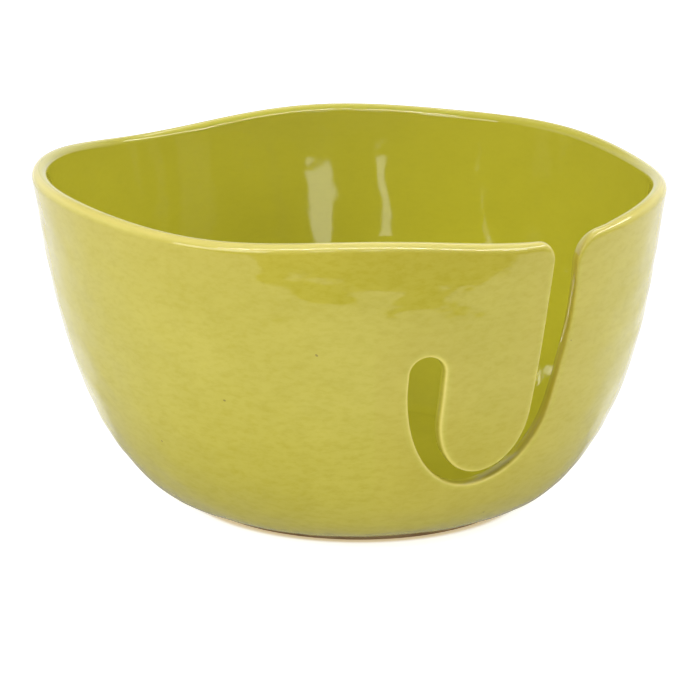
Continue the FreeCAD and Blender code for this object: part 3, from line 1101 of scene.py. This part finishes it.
def add_area(name, location, width, height, radiance, mirrored, aim=BOWL_MIDDLE):
    """A soft light. Mirrored ones show in the bowl's gloss and light nothing, and the others only light."""
    data = bpy.data.lights.new(name, "AREA")
    data.shape = "RECTANGLE"
    data.size = width
    data.size_y = height
    data.energy = radiance * math.pi * width * height
    lamp = bpy.data.objects.new(name, data)
    bpy.context.scene.collection.objects.link(lamp)
    lamp.location = location
    lamp.rotation_euler = (Vector(location) - Vector(aim)).to_track_quat("Z", "Y").to_euler()
    lamp.visible_camera = False
    lamp.visible_diffuse = not mirrored
    lamp.visible_glossy = mirrored


def from_bowl(azimuth, elevation, distance):
    """A point in a direction from the middle of the bowl, in degrees from the front and above level."""
    azimuth, elevation = math.radians(azimuth), math.radians(elevation)
    level = math.cos(elevation) * distance
    return Vector((math.sin(azimuth) * level, -math.cos(azimuth) * level,
                   BOWL_MIDDLE[2] + math.sin(elevation) * distance))


def add_world():
    """Soft light from all round. Mirrored in the bowl's gloss, the room is dark but for its white back."""
    world = bpy.data.worlds.new("studio")
    bpy.context.scene.world = world
    world.use_nodes = True
    tree = world.node_tree
    background = tree.nodes["Background"]
    background.inputs["Color"].default_value = (1.0, 1.0, 1.0, 1.0)
    place = tree.nodes.new("ShaderNodeTexCoord")
    parts = tree.nodes.new("ShaderNodeSeparateXYZ")
    tree.links.new(place.outputs["Generated"], parts.inputs["Vector"])
    back = combine(tree, "MULTIPLY", remap(tree, parts.outputs["Y"], -0.2, 0.4, 0.0, 1.0),
                   remap(tree, parts.outputs["Z"], 0.3, 0.6, 0.9, 0.0))
    strength = choose(tree, "Is Glossy Ray", WORLD_GLOW, combine(tree, "ADD", back, ROOM_GLOW))
    tree.links.new(strength, background.inputs["Strength"])


def add_lights():
    add_world()
    add_area("left_light", from_bowl(-82, 34, 1.4), 0.8, 0.8, 4.0, False)
    add_area("right_light", from_bowl(84, 34, 1.4), 0.8, 0.8, 3.8, False)
    add_area("front_light", from_bowl(-15, 42, 1.4), 0.8, 0.8, 1.5, False)
    right = Vector((math.cos(CAMERA_AZIMUTH), math.sin(CAMERA_AZIMUTH), 0)) * 0.33
    strip_aim = Vector(BOWL_MIDDLE) + right
    add_area("front_strip", from_bowl(-20, 46, 0.7) + right, 1.94, 0.03, 45.0, True, strip_aim)
    add_area("back_strip", from_bowl(148, 48, 1.2), 0.6, 0.14, 5.0, True)
    add_area("left_panel", from_bowl(-68, 14, 1.4), 0.85, 0.45, 4.5, True)
    add_area("right_panel", from_bowl(75, 38, 1.4), 1.2, 0.16, 9.0, True)
    add_area("window", from_bowl(-9, 14, 1.4), 0.22, 0.28, 3.2, True)
    add_area("window_side", from_bowl(-30, 15, 1.4), 0.24, 0.28, 3.2, True)
    add_area("window_low", (-0.001, -0.060, 0.066), 0.014, 0.024, 3.1, True, (0.018, 0.070, 0.056))
    add_area("window_side_low", (-0.0420, -0.0466, 0.062), 0.007, 0.026, 2.9, True, (0.034, 0.064, 0.055))


def main():
    outside, inside, clay_outside, clay_inside = surface_layers()
    clay = bare_clay("fired_clay")
    outer_glaze = glaze("glaze_outside", **OUTSIDE_GLAZE)
    inner_glaze = glaze("glaze_inside", **INSIDE_GLAZE_WITH_PAINTED_LIGHT)
    pieces = (
        (outer_coat(outside, clay_outside), "outer_glaze", "glaze_outside", outer_glaze),
        (inner_coat(inside, clay_inside), "inner_glaze", "glaze_inside", inner_glaze),
        (clay_core(clay_outside, clay_inside), "clay_body", "fired_clay", clay),
        (lathe("foot_ring_bare", ring_section()), "foot_ring", "fired_clay", clay),
        (lathe("glaze_base_patch", base_section(), DISK_SPACING), "base_glaze", "glaze_outside", outer_glaze),
    )
    for piece, node, slot, material in pieces:
        piece.data.materials.append(material)
        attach(piece, "root")
        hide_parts(node)
    add_camera()
    add_floor()
    add_lights()
    bpy.context.scene.view_settings.view_transform = "Standard"


main()
